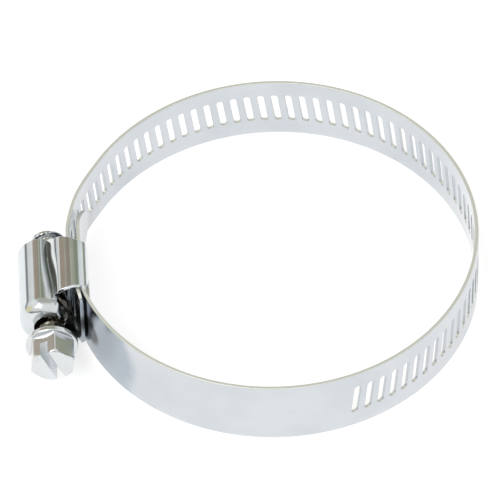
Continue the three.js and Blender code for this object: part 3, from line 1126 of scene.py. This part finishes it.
def screw_steel():
    """Zinc-plated steel, darkened on its neck and thread: grease, and painted shade inside the
    housing.
    """
    return metal(
        "screw_steel",
        clean=(0.70, 0.725, 0.75),
        worn=(0.66, 0.675, 0.68),
        streak_scale=(160, 8, 1),
        streaks=0.08,
        smudges=260,
        roughness=(0.12, 0.24),
        bump_height=0.00002,
        # grease, and painted shade where the housing covers the neck and thread
        shade_and_grease=greased_and_shaded_screw,
    )


# ---------------------------------------------------------------- stage

# The sky's brightness, from straight down at 0, by the horizon at 0.5, to overhead at 1
SKY = [(0.47, 0.30), (0.50, 0.18), (0.54, 0.25), (0.60, 0.85), (0.75, 1.0), (1.0, 1.0)]
SKY_STRENGTH = 1.1
# Areas of the sky that differ from the rest, which the bright steel mirrors
SURROUNDINGS = [
    # azimuth from +Y towards +X, elevation, half width in degrees, edge in degrees, colour
    (0, 62, 28, 16, (0.55, 0.56, 0.50)),
    (-37, 35, 6, 4, (0.42, 0.34, 0.26)),
    (-48, 17, 6, 5, (0.84, 0.83, 0.80)),
    (-21, 45, 4, 4, (0.34, 0.29, 0.23)),
    (2, 49, 5, 5, (0.45, 0.44, 0.35)),
    (12, 48, 4, 4, (0.28, 0.31, 0.23)),
    (34, 36, 8, 7, (0.84, 0.86, 0.86)),
    (48, 11, 6, 5, (0.40, 0.40, 0.30)),
    (-100, 12, 6, 20, (0.90, 0.85, 0.55)),
]


FLOOR_RADIUS = 3  # in metres
FLOOR_GAP = 0.05  # below the object, so that the two never share a plane
FLOOR_GLOW = 0.62

# The camera, in degrees, metres, and shares of the picture's width for its shifts
CAMERA_AZIMUTH = 1.63
CAMERA_ELEVATION = 49.05
CAMERA_ROLL = -1.785
CAMERA_DISTANCE = 1.175
CAMERA_LENS = 498.4  # focal length in millimetres, on a sensor 36 mm wide
CAMERA_SHIFT = (-0.0494, 0.01266)


def direction(azimuth, elevation):
    """The direction to a place in the surroundings."""
    turn, rise = math.radians(azimuth), math.radians(elevation)
    flat = math.cos(rise)
    return Vector((flat * math.sin(turn), flat * math.cos(turn), math.sin(rise)))


def studio_world():
    """Soft white surroundings with a dark horizon and a few areas of other colours."""
    world = bpy.data.worlds.new("studio")
    bpy.context.scene.world = world
    world.use_nodes = True
    nodes = Nodes(world.node_tree)
    place = nodes.add("ShaderNodeTexCoord").outputs["Generated"]
    height = nodes.add("ShaderNodeSeparateXYZ", {"Vector": place}).outputs["Z"]
    share = nodes.calculate("MULTIPLY_ADD", height, 0.5, 0.5)  # 0 below, 0.5 at the horizon, 1 above
    colour = nodes.ramp(share, *SKY)
    for azimuth, elevation, half, edge, shade in SURROUNDINGS:
        toward = direction(azimuth, elevation)
        dot = nodes.add("ShaderNodeVectorMath", {0: place, 1: toward}, operation="DOT_PRODUCT")
        far, near = math.cos(math.radians(half + edge)), math.cos(math.radians(half))
        inside = nodes.smooth_range(dot.outputs["Value"], far, near)
        colour = nodes.mix(inside, colour, (*shade, 1))
    background = world.node_tree.nodes["Background"]
    background.inputs["Strength"].default_value = SKY_STRENGTH
    world.node_tree.links.new(colour, background.inputs["Color"])


def pale_floor():
    """A large pale floor under the object, bright enough that shadows on it stay faint."""
    disc = bmesh.new()
    bmesh.ops.create_circle(disc, cap_ends=True, radius=FLOOR_RADIUS, segments=64)
    floor = placed(disc, "floor")
    floor.location = Vector((CENTRE.x, CENTRE.y, low.z - FLOOR_GAP)) * MM
    material = bpy.data.materials.new("pale_floor")
    material.use_nodes = True
    shader = material.node_tree.nodes["Principled BSDF"]
    shader.inputs["Base Color"].default_value = (0.5, 0.5, 0.5, 1)
    shader.inputs["Roughness"].default_value = 0.9
    shader.inputs["Specular IOR Level"].default_value = 0.0
    shader.inputs["Emission Color"].default_value = (1, 1, 1, 1)
    shader.inputs["Emission Strength"].default_value = FLOOR_GLOW
    floor.data.materials.append(material)


def softbox(name, position, size, power):
    """A square soft light that looks at the ring's centre."""
    light = bpy.data.lights.new(name, "AREA")
    light.size = size
    light.energy = power
    made = bpy.data.objects.new(name, light)
    bpy.context.scene.collection.objects.link(made)
    made.location = position
    middle = CENTRE * MM
    made.rotation_euler = (middle - Vector(position)).to_track_quat("-Z", "Y").to_euler()


def camera():
    """A long lens that looks down on the ring from in front of the screw's head."""
    forward = direction(CAMERA_AZIMUTH, -CAMERA_ELEVATION)
    lens = bpy.data.cameras.new("camera")
    lens.lens = CAMERA_LENS
    lens.sensor_width = 36
    lens.shift_x, lens.shift_y = CAMERA_SHIFT
    made = bpy.data.objects.new("camera", lens)
    bpy.context.scene.collection.objects.link(made)
    look = forward.to_track_quat("-Z", "Y").to_matrix().to_4x4()
    place = Matrix.Translation(CENTRE * MM - forward * CAMERA_DISTANCE)
    made.matrix_world = place @ look @ Matrix.Rotation(math.radians(CAMERA_ROLL), 4, "Z")
    bpy.context.scene.camera = made


def main():
    """Builds the object and its stage."""
    bpy.context.scene.view_settings.view_transform = "Standard"
    band = band_steel()
    strips = [hinge_piece(number) for number in range(1, LINK_COUNT + 1)]
    strips.append(fixed_end())
    for strip in strips:
        strip.data.materials.append(band)
    finishes = (
        # the housing's inside takes a dark material: painted shade, with some grease
        (worm_housing(), (housing_steel(), inside_grease_and_shade())),
        (worm_screw(), (screw_steel(),)),
    )
    for made, materials in finishes:
        made.data.materials.clear()
        for material in materials:
            made.data.materials.append(material)
    studio_world()
    pale_floor()
    softbox("key_light", position=(-0.5, -0.6, 0.9), size=0.6, power=6)
    camera()


main()
